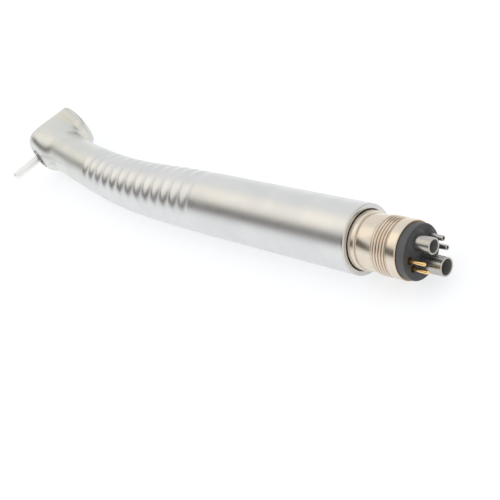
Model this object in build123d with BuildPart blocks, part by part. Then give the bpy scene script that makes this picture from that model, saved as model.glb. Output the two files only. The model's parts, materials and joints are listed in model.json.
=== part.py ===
from build123d import *
from math import cos, radians, sin
import os

# High speed dental handpiece, millimetres.
# Frame: origin in the middle of the coupling gasket's rear face. +X leaves the coupling along
# the handle's axis, +Y points away from the bur, +Z points up when the handpiece lies on its side.

# ---- Driving dimensions -----------------------------------------------------------------------

# Handle and neck. Stations are lengths along the centreline, counted from the shell's rear lip.
lip_x = -12.4
handle_run = 60.0
first_bend_length, first_bend_angle = 17.0, 8.5
second_bend_length, second_bend_angle = 24.0, 5.3
last_run = 5.7
body_sections = ((0, 6.8), (27, 6.6), (48, 6.5), (62, 5.98), (75, 5.45), (88, 4.95), (97, 4.85), (104, 4.8))
shell_wall = 0.75
shell_bore, shell_bore_depth = 6.02, 15.2
seam_station = 82.4
spigot_length, spigot_bore_radius, spigot_gap = 4.0, 3.8, 0.1
section_step = 6
lip_chamfer = 0.3

# Finger grooves on both flanks
groove_count = 13
groove_first, groove_pitch = 43.8, 3.05
groove_width, groove_depth = 1.8, 0.3
groove_half_angle = 69

# Head. Heights are measured along the head's axis from the neck's centreline, towards the cap.
head_tilt = 10
head_radius = 5.6
head_bottom, head_top = -5.1, 7.95
head_rounding = 2.6
cap_seam = 5.2
head_station = 106.5
seat_floor, chamber_floor, cap_bore_floor = -4.2, -1.6, 2.45
chamber_radius, cap_bore = 4.6, 4.85
cavity_end, jet_stop = 99.5, 2
spray_inner, spray_outer, spray_depth = 2.2, 2.9, 0.4
nozzle_count, nozzle_radius, nozzle_angle = 4, 0.2, 45
seat_radius = 3.75
rotor_opening = 1.85
beyond = 1.0

# Rotor and its bearings (1/8 by 1/4 inch ball bearings)
spindle_radius = 3.175 / 2
bearing_radius = 6.35 / 2
bearing_width = 2.38
ball_radius, ball_count = 0.5, 8
race_radius = (spindle_radius + bearing_radius) / 2
lower_bearing_base, upper_bearing_base = -4.1, 2.6
blade_count = 12
blade_root_low, blade_root_high, blade_tip_low, blade_tip_high = -0.45, 0.35, 0.35, 0.8
blade_middle, blade_back, blade_belly = 3.3, -0.35, 0.25
blade_back_reach, blade_front_reach = 4.235, 4.15
chuck_top, spindle_top = 3.2, 5.15
bur_radius, bur_top = 0.8, 3.0
bur_body_radius, bur_shoulder, bur_tip = 1.0, -5.3, -13.2
chuck_clearance = 0.02

race_gap, land, cage_half, cage_base, cage_lip = 0.03, 0.33, 0.2, 0.75, 0.2
shield_thickness, shield_outer, shield_gap = 0.15, 2.88, 0.06
o_ring_half, o_ring_rounding = 0.35, 0.2
spindle_bore, spindle_bottom, spindle_chamfer = 1.3, -4.45, 0.15
slit_length, slit_width, slit_count = 5.5, 0.2, 3
bur_chamfer, bur_tip_rounding = 0.2, 0.75
impeller_base, impeller_height, hub_radius, hub_bite = -1.35, 3.3, 2.4, 0.2
web_low, web_high, web_radius = 1.45, 1.85, 3.95
plunger_clearance, plunger_step, plunger_tip_radius = 0.08, 0.4, 0.85

# Push button
button_radius, button_clearance = 3.5, 0.1
button_flange, button_boss, spring_window = 4.1, 0.95, 2.3
button_sink, button_depth, button_rounding = 0.05, 0.75, 0.3
plunger_gap = 0.35
plunger_bottom = 3.8
washer_bore = 2.75
cap_web_top, lip_underside, cap_rounding = 5.6, 7.35, 0.9
seal_thickness, seal_width = 0.35, 0.8
spring_wire, spring_turns, spring_height, spring_radius, spring_cone = 0.1, 2, 0.62, 3.7, -60

# Coupling end. X stations of the connector, the gasket and the tubes.
thread_radius, band_radius, neck_band_radius, nose_radius, nose_chamfer = 5.65, 5.65, 5.35, 5.6, 0.3
thread_start, thread_turns, thread_pitch, thread_depth = -7.1, 5, 0.65, 0.3
thread_length, thread_lead, thread_cut_share = 3.4, 0.75, 0.36
band_front, shoulder_x, connector_back = -10.95, -12.9, -25.4
connector_bore, manifold_radius = 4.9, 4.6
seal_x, seal_groove_width, seal_groove_depth, connector_ring_rounding = -18, 0.9, 0.45, 0.12
nose_end = -1.6
lip_ring_proud, lock_gap, lock_width = 0.1, 0.05, 2.0
gasket_radius, gasket_rounding, tip_chamfer = 5.25, 0.25, 0.08
drive_tube = {"y": 0, "z": 2.45, "outer": 1.52, "root": 1.72, "inner": 1.2, "tip": 3.7}
exhaust_tube = {"y": 0, "z": -2.45, "outer": 1.8, "root": 1.96, "inner": 1.48, "tip": 4.6}
small_tube = {"y": 3.2, "z": 1.15, "outer": 0.5, "root": 0.7, "inner": 0.3, "tip": 3.15}
contact = {"y": -3.2, "z": 1.0, "outer": 0.38, "root": 0.2, "tip": 3.5, "rounding": 0.34}
manifold_back, manifold_front = -9.4, -3.2
sleeve_radius, sleeve_proud, sleeve_sink = 0.7, 0.4, 0.05

# Inside the handle: offsets from the centreline (y away from the bur, z up)
pipes = {
    "drive_air_pipe": {"y": 0, "z": 2.3, "outer": 1.0, "inner": 0.8},
    "exhaust_pipe": {"y": 0, "z": -2.4, "outer": 1.3, "inner": 1.1},
    "water_pipe": {"y": 2.9, "z": 1.0, "outer": 0.45, "inner": 0.3},
    "chip_air_pipe": {"y": 2.9, "z": -1.0, "outer": 0.45, "inner": 0.3},
}
pipe_start_x, pipe_end_station = -9.6, 100.4
pipe_turns = (62, 69, 76, 84, 92)
pipe_bend_radius = 55
guide_y, guide_radius = -3.0, 0.75
guide_turn_station, window_depth, window_reach = 97.0, 1.2, 8.0
window_ahead, window_down = 2.4, -5.0
guide_stations, guide_gap, guide_bend_radius = (62, 69, 76, 84, 91), 0.1, 1.2
spacer_station, spacer_width, spacer_gap = 35, 2.0, 0.15
lamp_front, lamp_back, lamp_radius = -16.2, -22.2, 1.6
lamp_gap, lamp_rounding = 0.05, 0.6
socket_front, socket_radius, pin_socket_depth = -12.8, 1.6, 1.6

# Clearance between pieces that are assembled with a slide fit
fit_gap, seat_gap = 0.02, 0.1

os.makedirs("parts", exist_ok=True)


# ---- Frames and helpers -----------------------------------------------------------------------

with BuildLine() as neck_line:
    straight = Line((lip_x, 0), (lip_x - handle_run, 0))
    first_radius = first_bend_length / radians(first_bend_angle)
    first_bend = JernArc(straight @ 1, straight % 1, first_radius, -first_bend_angle)
    second_radius = second_bend_length / radians(second_bend_angle)
    second_bend = JernArc(first_bend @ 1, first_bend % 1, second_radius, -second_bend_angle)
    Line(second_bend @ 1, second_bend @ 1 + last_run * (second_bend % 1))

neck_wire = neck_line.wire()
head_centre = neck_wire @ 1
head_up = Vector(sin(radians(head_tilt)), cos(radians(head_tilt)), 0)
head_rear = Vector(cos(radians(head_tilt)), -sin(radians(head_tilt)), 0)
head_axis = Axis(head_centre, head_up)
head_section = Plane(origin=head_centre, x_dir=head_rear, z_dir=(0, 0, 1))


def save(builder, label):
    """Label a finished piece and write it as one STEP file."""
    builder.part.label = label
    export_step(builder.part, f"parts/{label}.step")


def neck_plane(station):
    """Plane across the centreline: local x points up, local y away from the bur."""
    place = neck_wire.position_at(station, position_mode=PositionMode.LENGTH)
    heading = neck_wire.tangent_at(station, position_mode=PositionMode.LENGTH)
    return Plane(origin=place, x_dir=(0, 0, 1), z_dir=heading)


def neck_point(station, y, z):
    """Point at a station, offset from the centreline."""
    return neck_plane(station).from_local_coords((z, y, 0))


def head_plane(height):
    """Plane across the head's axis at a height above the neck's centreline."""
    return Plane(origin=head_centre + height * head_up, x_dir=head_rear, z_dir=head_up)


def body_radius(station):
    """Outer radius of the handle and neck at a station."""
    for (low, low_radius), (high, high_radius) in zip(body_sections, body_sections[1:]):
        if station <= high:
            return low_radius + (high_radius - low_radius) * (station - low) / (high - low)
    return body_sections[-1][1]


def turned_ring(inner, outer, low, high, mode=Mode.ADD):
    """Ring or disc turned about the head's axis."""
    with BuildSketch(head_section) as profile:
        with Locations(((inner + outer) / 2, (low + high) / 2)):
            Rectangle(outer - inner, high - low)
    revolve(profile.sketch, axis=head_axis, mode=mode)


def bar(y, z, radius, start_x, end_x, mode=Mode.ADD):
    """Round bar along the handle's axis."""
    with BuildSketch(Plane.YZ.offset(start_x)) as profile:
        with Locations((y, z)):
            Circle(radius)
    extrude(profile.sketch, amount=end_x - start_x, mode=mode)


def handle_bar(wall, start, mode=Mode.ADD):
    """Straight part of the handle as a turned bar, a wall thickness inside the body."""
    between = [station for station, radius in body_sections if start < station < handle_run]
    stations = [start, *between, handle_run]
    with BuildSketch() as profile:
        with BuildLine():
            outline = [(lip_x - station, body_radius(station) - wall) for station in stations]
            Polyline((outline[0][0], 0), *outline, (outline[-1][0], 0), close=True)
        make_face()
    revolve(profile.sketch, axis=Axis.X, mode=mode)


def neck_bar(wall, start, end, mode=Mode.ADD):
    """Bent part of the neck, lofted through evenly spaced circles."""
    steps = max(1, round((end - start) / section_step))
    circles = []
    for step in range(steps + 1):
        station = start + (end - start) * step / steps
        with BuildSketch(neck_plane(station)) as section:
            Circle(body_radius(station) - wall)
        circles.append(section.sketch)
    loft(circles, mode=mode)


def cut_groove(station, side):
    """Finger groove on one flank, between the belly and the spine."""
    outer, floor = body_radius(station) + beyond, body_radius(station) - groove_depth
    reach = 2 * outer
    with BuildSketch(neck_plane(station).offset(-groove_width / 2)) as slot:
        Circle(outer)
        Circle(floor, mode=Mode.SUBTRACT)
        spread = reach * sin(radians(groove_half_angle)), reach * cos(radians(groove_half_angle))
        with BuildLine():
            left, right = (side * spread[1], spread[0]), (side * spread[1], -spread[0])
            Polyline((0, 0), left, (side * reach * 2, 0), right, close=True)
        make_face(mode=Mode.INTERSECT)
    extrude(slot.sketch, amount=groove_width, mode=Mode.SUBTRACT)


# ---- Handle shell -----------------------------------------------------------------------------

with BuildPart() as handle_shell:
    handle_bar(0, 0)
    neck_bar(0, handle_run, seam_station)
    handle_bar(shell_wall, shell_bore_depth - beyond, Mode.SUBTRACT)
    neck_bar(shell_wall, handle_run, seam_station, Mode.SUBTRACT)
    bar(0, 0, shell_bore, lip_x, lip_x - shell_bore_depth, Mode.SUBTRACT)
    lip_edges = handle_shell.edges().group_by(Axis.X)[-1].sort_by(SortBy.LENGTH)
    chamfer(lip_edges[-1], lip_chamfer)
    for number in range(groove_count):
        cut_groove(groove_first + number * groove_pitch, 1)
        cut_groove(groove_first + number * groove_pitch, -1)
save(handle_shell, "handle_shell")

# ---- Head housing, with the front of the neck -------------------------------------------------

guide_bend = neck_point(guide_turn_station, guide_y, 0)
guide_aim = (neck_point(guide_turn_station + window_ahead, window_down, 0) - guide_bend).normalized()
window_plane = Plane(origin=guide_bend + window_depth * guide_aim, x_dir=(0, 0, 1), z_dir=guide_aim)

with BuildPart() as head_housing:
    neck_bar(0, seam_station, head_station)
    with BuildSketch(head_section) as head_profile:
        with BuildLine():
            flat_end = (head_radius - head_rounding, head_bottom)
            Line((0, head_bottom), flat_end)
            CenterArc((flat_end[0], head_bottom + head_rounding), head_rounding, -90, 90)
            rim_low, rim_high = (head_radius, head_bottom + head_rounding), (head_radius, cap_seam)
            Polyline(rim_low, rim_high, (0, cap_seam), (0, head_bottom))
        make_face()
    revolve(axis=head_axis)
    neck_bar(shell_wall, seam_station + beyond, cavity_end, Mode.SUBTRACT)
    turned_ring(0, rotor_opening, head_bottom - beyond, seat_floor + beyond, Mode.SUBTRACT)
    turned_ring(0, seat_radius, seat_floor, chamber_floor + beyond, Mode.SUBTRACT)
    turned_ring(0, chamber_radius, chamber_floor, cap_bore_floor + beyond, Mode.SUBTRACT)
    turned_ring(0, cap_bore, cap_bore_floor, cap_seam + beyond, Mode.SUBTRACT)
    turned_ring(spray_inner, spray_outer, head_bottom - beyond, head_bottom + spray_depth, Mode.SUBTRACT)
    with BuildSketch(neck_plane(seam_station - spigot_length)) as spigot:
        Circle(body_radius(seam_station) - shell_wall - spigot_gap)
    extrude(spigot.sketch, amount=spigot_length + beyond / 2)
    with BuildSketch(neck_plane(seam_station - spigot_length)) as spigot_bore:
        Circle(spigot_bore_radius)
    extrude(spigot_bore.sketch, amount=spigot_length + 2 * beyond, mode=Mode.SUBTRACT)
    for pipe in pipes.values():
        with BuildSketch(neck_plane(cavity_end)) as pipe_seat:
            with Locations((pipe["z"], pipe["y"])):
                Circle(pipe["outer"] + seat_gap)
        extrude(pipe_seat.sketch, amount=pipe_end_station - cavity_end, mode=Mode.SUBTRACT)
    for pipe in (pipes["drive_air_pipe"], pipes["exhaust_pipe"]):
        with BuildSketch(neck_plane(cavity_end)) as jet:
            with Locations((pipe["z"], pipe["y"])):
                Circle(pipe["inner"])
        extrude(jet.sketch, amount=head_station - cavity_end - jet_stop, mode=Mode.SUBTRACT)
    with BuildSketch(window_plane.offset(-window_depth - beyond)) as guide_hole:
        Circle(guide_radius + seat_gap)
    extrude(guide_hole.sketch, amount=window_reach, mode=Mode.SUBTRACT)
save(head_housing, "head_housing")

# ---- Light guide and window -------------------------------------------------------------------

with BuildPart() as light_window:
    with BuildSketch(window_plane):
        Circle(guide_radius)
    extrude(amount=window_reach)
    neck_bar(0, guide_turn_station - section_step, guide_turn_station + section_step, Mode.INTERSECT)
save(light_window, "light_window")

with BuildPart() as light_guide:
    with BuildLine() as guide_path:
        guide_stops = [(lamp_back - guide_gap, guide_y, 0)]
        guide_stops += [neck_point(station, guide_y, 0) for station in guide_stations]
        guide_stops += [guide_bend, window_plane.origin - guide_gap * guide_aim]
        FilletPolyline(*guide_stops, radius=[pipe_bend_radius] * len(guide_stations) + [guide_bend_radius])
    with BuildSketch(Plane(origin=guide_path.wire() @ 0, z_dir=guide_path.wire() % 0)):
        Circle(guide_radius - fit_gap)
    sweep()
save(light_guide, "light_guide")

# ---- Pipes inside the handle ------------------------------------------------------------------

for pipe_name, pipe in pipes.items():
    with BuildPart() as inner_pipe:
        with BuildLine() as pipe_path:
            stops = [(pipe_start_x, pipe["y"], pipe["z"])]
            for station in (*pipe_turns, pipe_end_station):
                stops.append(neck_point(station, pipe["y"], pipe["z"]))
            FilletPolyline(*stops, radius=pipe_bend_radius)
        with BuildSketch(Plane(origin=pipe_path.wire() @ 0, z_dir=pipe_path.wire() % 0)):
            Circle(pipe["outer"])
            Circle(pipe["inner"], mode=Mode.SUBTRACT)
        sweep()
    save(inner_pipe, pipe_name)

with BuildPart() as pipe_spacer:
    spacer_front, spacer_back = lip_x - spacer_station, lip_x - spacer_station - spacer_width
    drill = (spacer_front + beyond, spacer_back - beyond, Mode.SUBTRACT)
    bar(0, 0, body_radius(spacer_station) - shell_wall - spacer_gap, spacer_front, spacer_back)
    for pipe in pipes.values():
        bar(pipe["y"], pipe["z"], pipe["outer"] + fit_gap, *drill)
    bar(guide_y, 0, guide_radius + fit_gap, *drill)
save(pipe_spacer, "pipe_spacer")

# ---- Bearings ---------------------------------------------------------------------------------


def bearing_ring(inner, outer, base, shield_side=0):
    """Bearing ring with a ball groove, and a step for the shield where it has one."""
    middle = base + bearing_width / 2
    turned_ring(inner, outer, base, base + bearing_width)
    with BuildSketch(head_section) as groove:
        with Locations((race_radius, middle)):
            Circle(ball_radius + race_gap)
    revolve(groove.sketch, axis=head_axis, mode=Mode.SUBTRACT)
    edge = middle + shield_side * (bearing_width / 2 - shield_thickness)
    if shield_side:
        turned_ring(inner, shield_outer, edge, edge + shield_side * shield_thickness, Mode.SUBTRACT)


bearings = {"lower": (lower_bearing_base, 1), "upper": (upper_bearing_base, -1)}
for place_name, (base, inner_side) in bearings.items():
    middle = base + bearing_width / 2

    with BuildPart() as outer_ring:
        bearing_ring(race_radius + land, bearing_radius, base, inner_side)
    save(outer_ring, f"{place_name}_bearing_outer_ring")

    with BuildPart() as inner_ring:
        bearing_ring(spindle_radius + fit_gap / 2, race_radius - land, base)
    save(inner_ring, f"{place_name}_bearing_inner_ring")

    with BuildPart() as balls:
        with Locations(head_plane(middle)):
            with PolarLocations(race_radius, ball_count):
                Sphere(ball_radius)
    save(balls, f"{place_name}_bearing_balls")

    with BuildPart() as cage:
        turned_ring(race_radius - cage_half, race_radius + cage_half, middle - cage_base, middle + cage_lip)
        with Locations(head_plane(middle)):
            with PolarLocations(race_radius, ball_count):
                Sphere(ball_radius + race_gap, mode=Mode.SUBTRACT)
    save(cage, f"{place_name}_bearing_cage")

    with BuildPart() as shield:
        edge = middle + inner_side * (bearing_width / 2 - shield_thickness)
        shield_inner = race_radius - land + shield_gap
        turned_ring(shield_inner, shield_outer - fit_gap, edge, edge + inner_side * shield_thickness)
    save(shield, f"{place_name}_bearing_shield")

    with BuildPart() as o_ring:
        ring_inner, ring_outer = bearing_radius + fit_gap / 2, seat_radius - fit_gap / 2
        turned_ring(ring_inner, ring_outer, middle - o_ring_half, middle + o_ring_half)
        fillet(o_ring.edges(), o_ring_rounding)
    save(o_ring, f"{place_name}_bearing_o_ring")

# ---- Rotor ------------------------------------------------------------------------------------

with BuildPart() as spindle:
    turned_ring(spindle_bore, spindle_radius, spindle_bottom, spindle_top)
    chamfer(spindle.edges().group_by(head_axis)[0].sort_by(SortBy.RADIUS)[-1], spindle_chamfer)
save(spindle, "spindle")

with BuildPart() as chuck_collet:
    turned_ring(bur_radius + chuck_clearance, spindle_bore - fit_gap, spindle_bottom + fit_gap, chuck_top)
    with BuildSketch(head_plane(spindle_bottom)) as slits:
        with PolarLocations(0, slit_count):
            with Locations((spindle_bore / 2, 0)):
                Rectangle(spindle_bore + slit_width, slit_width)
    extrude(slits.sketch, amount=slit_length, mode=Mode.SUBTRACT)
save(chuck_collet, "chuck_collet")

with BuildSketch() as blade:
    with BuildLine():
        blade_foot = hub_radius - hub_bite
        root_back, root_front = (blade_foot, blade_root_low), (blade_foot, blade_root_high)
        tip_back, tip_front = (blade_back_reach, blade_tip_low), (blade_front_reach, blade_tip_high)
        ThreePointArc(root_front, (blade_middle, blade_belly), tip_front)
        Line(tip_front, tip_back)
        ThreePointArc(tip_back, (blade_middle, blade_back), root_back)
        Line(root_back, root_front)
    make_face()

with BuildPart() as impeller:
    hub_bore, spacer_radius = spindle_radius + fit_gap / 2, race_radius - land - fit_gap
    turned_ring(hub_bore, hub_radius, impeller_base, impeller_base + impeller_height)
    spacer_low, spacer_high = lower_bearing_base + bearing_width + fit_gap, upper_bearing_base - fit_gap
    turned_ring(hub_bore, spacer_radius, spacer_low, spacer_high)
    turned_ring(hub_radius - hub_bite, web_radius, impeller_base + web_low, impeller_base + web_high)
    with BuildSketch(head_plane(impeller_base)) as blades:
        with PolarLocations(0, blade_count):
            add(blade.sketch)
    extrude(blades.sketch, amount=impeller_height)
save(impeller, "impeller")

with BuildPart() as release_plunger:
    turned_ring(0, spindle_bore - plunger_clearance, plunger_bottom + plunger_step, spindle_top)
    turned_ring(0, plunger_tip_radius, plunger_bottom, plunger_bottom + plunger_step)
save(release_plunger, "release_plunger")

with BuildPart() as bur_blank:
    turned_ring(0, bur_radius, bur_shoulder, bur_top)
    turned_ring(0, bur_body_radius, bur_tip, bur_shoulder)
    fillet(bur_blank.edges().group_by(head_axis)[0], bur_tip_rounding)
    chamfer(bur_blank.edges().group_by(head_axis)[-1], bur_chamfer)
save(bur_blank, "bur_blank")

# ---- Cap, push button and seals ---------------------------------------------------------------

with BuildPart() as back_cap:
    turned_ring(seat_radius, cap_bore - fit_gap, cap_bore_floor + seal_thickness, cap_seam + 2 * fit_gap)
    turned_ring(spring_window, head_radius, cap_seam + fit_gap, head_top)
    turned_ring(0, button_flange + button_clearance, cap_web_top, lip_underside, Mode.SUBTRACT)
    turned_ring(0, button_radius + button_clearance, cap_web_top, head_top + beyond, Mode.SUBTRACT)
    top_edges = back_cap.edges().group_by(head_axis)[-1].sort_by(SortBy.RADIUS)
    fillet(top_edges[-1], cap_rounding)
save(back_cap, "back_cap")

with BuildPart() as push_button:
    flange_top, flange_bottom = lip_underside - button_sink, lip_underside - button_depth
    turned_ring(0, button_radius, flange_bottom, head_top - button_sink)
    fillet(push_button.edges().group_by(head_axis)[-1], button_rounding)
    turned_ring(0, button_flange, flange_bottom, flange_top)
    turned_ring(0, button_boss, spindle_top + plunger_gap, flange_bottom)
save(push_button, "push_button")

with BuildPart() as button_spring:
    with BuildLine() as coil:
        Helix(
            pitch=spring_height / spring_turns,
            height=spring_height,
            radius=spring_radius,
            center=head_plane(cap_web_top + spring_wire + fit_gap).origin,
            direction=head_up,
            cone_angle=spring_cone,
        )
    with BuildSketch(Plane(origin=coil.wire() @ 0, z_dir=coil.wire() % 0)):
        Circle(spring_wire)
    sweep()
save(button_spring, "button_spring")

with BuildPart() as cap_seal_ring:
    seal_low, seal_high = cap_bore_floor + fit_gap / 2, cap_bore_floor + seal_thickness - fit_gap / 2
    turned_ring(cap_bore - seal_width, cap_bore - fit_gap, seal_low, seal_high)
save(cap_seal_ring, "cap_seal_ring")

with BuildPart() as preload_washer:
    bearing_top = upper_bearing_base + bearing_width
    turned_ring(washer_bore, bearing_radius, bearing_top + fit_gap / 2, cap_seam - fit_gap / 2)
save(preload_washer, "preload_washer")

with BuildPart() as spray_ring:
    spray_top = head_bottom + spray_depth - fit_gap
    turned_ring(spray_inner + fit_gap, spray_outer - fit_gap, head_bottom, spray_top)
    with BuildSketch(head_plane(head_bottom - beyond)) as nozzles:
        with PolarLocations((spray_inner + spray_outer) / 2, nozzle_count, start_angle=nozzle_angle):
            Circle(nozzle_radius)
    extrude(nozzles.sketch, amount=2 * beyond, mode=Mode.SUBTRACT)
save(spray_ring, "spray_ring")

# ---- Coupling end -----------------------------------------------------------------------------

fluid_tubes = {
    "drive_air_tube": (drive_tube, 1),
    "exhaust_tube": (exhaust_tube, 1),
    "water_tube": (small_tube, 1),
    "chip_air_tube": (small_tube, -1),
}


def drill_coupling(start_x, end_x, gap):
    """Holes for the four tubes and the two contact sleeves."""
    for tube, side in fluid_tubes.values():
        bar(tube["y"], side * tube["z"], tube["root"] + gap, start_x, end_x, Mode.SUBTRACT)
    for side in (1, -1):
        bar(contact["y"], side * contact["z"], sleeve_radius + gap, start_x, end_x, Mode.SUBTRACT)


with BuildPart() as connector_body:
    with BuildSketch() as connector_profile:
        with BuildLine():
            thread_end, sleeve_fit = thread_start + thread_length, shell_bore - fit_gap
            Polyline(
                (nose_end, 0), (nose_end, nose_radius - nose_chamfer), (nose_end - nose_chamfer, nose_radius),
                (thread_end, nose_radius), (thread_end, thread_radius),
                (thread_start, thread_radius), (thread_start, neck_band_radius),
                (band_front, neck_band_radius), (band_front, band_radius), (shoulder_x, band_radius),
                (shoulder_x, sleeve_fit), (connector_back, sleeve_fit), (connector_back, 0),
                close=True,
            )
        make_face()
    revolve(axis=Axis.X)
    bar(0, 0, connector_bore, manifold_back, connector_back - beyond, Mode.SUBTRACT)
    bar(0, 0, manifold_radius + fit_gap, manifold_back - beyond, nose_end + beyond, Mode.SUBTRACT)
    for turn in range(thread_turns):
        cut_x = thread_start + thread_pitch * (turn + thread_lead)
        with BuildSketch() as thread_cut:
            with BuildLine():
                half, crest = thread_pitch * thread_cut_share, thread_radius + fit_gap / 2
                root = (cut_x, crest - thread_depth)
                Polyline((cut_x - half, crest), (cut_x + half, crest), root, close=True)
            make_face()
        revolve(thread_cut.sketch, axis=Axis.X, mode=Mode.SUBTRACT)
    with BuildSketch() as seal_groove:
        with Locations((seal_x, shell_bore - seal_groove_depth / 2)):
            Rectangle(seal_groove_width, seal_groove_depth)
    revolve(seal_groove.sketch, axis=Axis.X, mode=Mode.SUBTRACT)
save(connector_body, "connector_body")

with BuildPart() as gasket:
    bar(0, 0, gasket_radius, nose_end + fit_gap / 2, 0)
    fillet(gasket.edges().group_by(Axis.X)[-1], gasket_rounding)
    bar(0, 0, manifold_radius, manifold_front + fit_gap / 2, nose_end + fit_gap)
    drill_coupling(manifold_front - beyond, beyond, fit_gap)
save(gasket, "gasket")

with BuildPart() as tube_manifold:
    bar(0, 0, manifold_radius, manifold_back, manifold_front)
    drill_coupling(manifold_back - beyond, manifold_front + beyond, fit_gap)
save(tube_manifold, "tube_manifold")

for tube_name, (tube, side) in fluid_tubes.items():
    with BuildPart() as stub:
        place = (tube["y"], side * tube["z"])
        bar(*place, tube["root"], manifold_back, 0)
        bar(*place, tube["outer"], 0, tube["tip"])
        bar(*place, tube["inner"], manifold_back - beyond, tube["tip"] + beyond, Mode.SUBTRACT)
        chamfer(stub.edges().group_by(Axis.X)[-1].sort_by(SortBy.RADIUS)[-1], tip_chamfer)
    save(stub, tube_name)

for number, side in ((1, 1), (2, -1)):
    with BuildPart() as pin:
        place = (contact["y"], side * contact["z"])
        bar(*place, contact["root"], socket_front - pin_socket_depth, 0)
        bar(*place, contact["outer"], 0, contact["tip"])
        fillet(pin.edges().group_by(Axis.X)[-1], contact["rounding"])
    save(pin, f"contact_pin_{number}")

    with BuildPart() as sleeve:
        bar(*place, sleeve_radius, manifold_back - sleeve_proud, -sleeve_sink)
        bar(*place, contact["root"] + fit_gap, manifold_back - beyond, beyond, Mode.SUBTRACT)
    save(sleeve, f"contact_sleeve_{number}")

with BuildPart() as lamp_socket:
    bar(contact["y"], 0, socket_radius, socket_front, lamp_front)
    for side in (1, -1):
        hole = (contact["root"] + fit_gap, socket_front + beyond, socket_front - pin_socket_depth - seat_gap)
        bar(contact["y"], side * contact["z"], *hole, Mode.SUBTRACT)
save(lamp_socket, "lamp_socket")

with BuildPart() as lamp:
    bar(guide_y, 0, lamp_radius, lamp_front - lamp_gap, lamp_back)
    fillet(lamp.edges().group_by(Axis.X)[0], lamp_rounding)
save(lamp, "lamp")

with BuildPart() as connector_o_ring:
    with BuildSketch() as seal_profile:
        with Locations((seal_x, shell_bore - seal_groove_depth / 2)):
            Rectangle(seal_groove_width - seat_gap, seal_groove_depth - 2 * fit_gap)
    revolve(seal_profile.sketch, axis=Axis.X)
    fillet(connector_o_ring.edges(), connector_ring_rounding)
save(connector_o_ring, "connector_o_ring")

with BuildPart() as lip_ring:
    bar(0, 0, shell_bore - fit_gap, shoulder_x + fit_gap / 2, lip_x + lip_ring_proud)
    bar(0, 0, band_radius + fit_gap, shoulder_x - beyond, lip_x + beyond, Mode.SUBTRACT)
save(lip_ring, "lip_ring")

with BuildPart() as lock_ring:
    lock_front, lock_back = connector_back - lock_gap, connector_back - lock_width
    bar(0, 0, shell_bore - fit_gap, lock_front, lock_back)
    bar(0, 0, connector_bore, lock_front + beyond, lock_back - beyond, Mode.SUBTRACT)
save(lock_ring, "lock_ring")
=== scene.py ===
import itertools
import json
from math import cos, pi, radians, sin, tan

import bmesh
import bpy
import numpy as np
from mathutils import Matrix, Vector


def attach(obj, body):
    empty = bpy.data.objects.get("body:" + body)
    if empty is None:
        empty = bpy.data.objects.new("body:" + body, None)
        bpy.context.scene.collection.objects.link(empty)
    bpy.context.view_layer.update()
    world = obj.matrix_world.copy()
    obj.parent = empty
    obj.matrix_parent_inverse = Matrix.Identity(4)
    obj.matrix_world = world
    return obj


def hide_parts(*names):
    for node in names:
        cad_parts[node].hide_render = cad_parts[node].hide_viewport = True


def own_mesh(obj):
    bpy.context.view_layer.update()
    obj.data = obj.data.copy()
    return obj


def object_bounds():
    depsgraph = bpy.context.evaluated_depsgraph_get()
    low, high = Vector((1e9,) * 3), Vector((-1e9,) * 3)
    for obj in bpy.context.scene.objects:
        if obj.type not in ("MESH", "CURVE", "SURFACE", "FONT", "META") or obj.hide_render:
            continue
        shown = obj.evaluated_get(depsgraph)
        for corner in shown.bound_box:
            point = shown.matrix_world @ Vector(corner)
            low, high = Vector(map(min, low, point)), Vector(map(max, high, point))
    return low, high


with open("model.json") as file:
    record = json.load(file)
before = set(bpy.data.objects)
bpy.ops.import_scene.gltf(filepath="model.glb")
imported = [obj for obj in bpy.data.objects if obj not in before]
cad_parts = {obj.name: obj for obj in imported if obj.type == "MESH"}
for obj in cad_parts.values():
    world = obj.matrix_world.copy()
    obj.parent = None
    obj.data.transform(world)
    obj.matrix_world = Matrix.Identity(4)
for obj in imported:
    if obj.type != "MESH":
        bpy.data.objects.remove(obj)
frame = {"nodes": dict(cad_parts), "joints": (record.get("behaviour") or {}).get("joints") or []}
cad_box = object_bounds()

# High speed dental handpiece. Lengths here are millimetres in the CAD frame; MM turns them into metres.
MM = 0.001

# ---- Driving dimensions -------------------------------------------------------------------------
# They repeat the CAD part's, apart from the width and half angle of the finger grooves, the rounding
# of the head, cap and gasket, and where the last of the body's sections lies.

LIP_X, LIP_ROUNDING, LIP_BORE, LIP_DEPTH = -12.4, 0.16, 5.84, 0.3
SHELL_BORE, SHELL_BORE_DEPTH, SHELL_WALL = 6.02, 15.2, 0.75
HANDLE_RUN = 60.0
BENDS = ((17.0, 8.5), (24.0, 5.3))
BODY_SECTIONS = (
    (0, 6.8), (27, 6.6), (48, 6.5), (62, 5.98), (75, 5.45), (88, 4.95), (97, 4.85), (107, 4.8),
)
SECTION_EASE, POLISHED_LIP = 4, 0.42
SEAM_STATION, CAVITY_END = 82.4, 99.5

GROOVE_COUNT, GROOVE_FIRST, GROOVE_PITCH = 13, 43.8, 3.05
GROOVE_DEPTH, GROOVE_WIDTH, GROOVE_HALF_ANGLE, GROOVE_EDGE = 0.3, 2.95, 76, 0.08

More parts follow.
